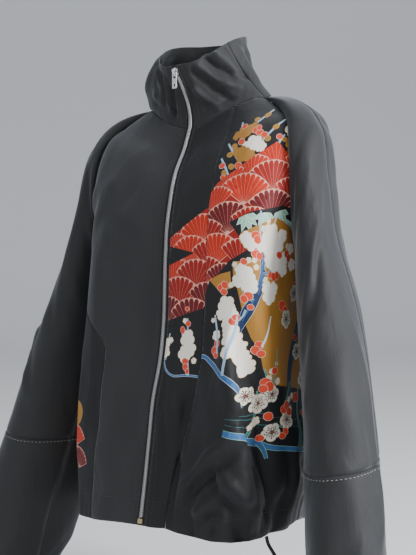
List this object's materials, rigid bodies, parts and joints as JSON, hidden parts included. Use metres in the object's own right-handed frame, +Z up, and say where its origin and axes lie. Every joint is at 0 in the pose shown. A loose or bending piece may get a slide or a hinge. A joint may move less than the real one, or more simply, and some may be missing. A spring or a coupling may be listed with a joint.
{
  "type": "kimono jacket",
  "caption": "Zip-up jacket with a funnel collar, raglan sleeves and a drawcord hem, remade from black formal kimono silk with printed front pieces, hollow as worn.",
  "frame": {"origin": "middle of the neck opening, level with the seam where the collar meets the shoulders", "axes": "+Z up along the wearer's body, -Y out of the front, +X to the wearer's left; left and right in names are the wearer's"},
  "size_m": [0.7132, 0.3432, 0.9518],
  "materials": {
    "black_silk": "black figured silk with a soft satin sheen",
    "printed_silk": "black silk printed with blossoms, pine, bamboo and gold clouds",
    "zip_tape": "black woven tape",
    "silver_metal": "silver-coloured zip metal, softly polished",
    "gold_metal": "dull gold-coloured metal",
    "cord": "black round cord"
  },
  "bodies": {
    "jacket": {"right_front": "black_silk", "right_side": "black_silk", "left_front": "printed_silk", "left_side_front": "printed_silk", "back_right": "black_silk", "back_left": "black_silk", "right_sleeve_front": "black_silk", "right_sleeve_back": "black_silk", "right_lower_sleeve_front": "black_silk", "right_lower_sleeve_back": "black_silk", "right_cuff": "black_silk", "left_sleeve_front": "black_silk", "left_sleeve_back": "black_silk", "left_lower_sleeve_front": "black_silk", "left_lower_sleeve_back": "black_silk", "left_cuff": "black_silk", "collar_left": "black_silk", "collar_right": "black_silk", "collar_back": "black_silk", "zip_tape_right": "zip_tape", "zip_tape_left": "zip_tape", "zip_chain": "silver_metal", "zip_bottom_stop": "gold_metal", "slider": "silver_metal", "drawcord_1": "cord", "drawcord_knot_1": "cord", "drawcord_2": "cord", "drawcord_knot_2": "cord"},
    "pull_tab": {"pull_tab": "silver_metal"}
  },
  "joints": [
    {"name": "tab_swing", "type": "hinge", "parent": "jacket", "child": "pull_tab", "pos_m": [0, -0.10177, 0.032], "axis": [-1, 0, 0], "range_deg": [-15, 150]}
  ]
}
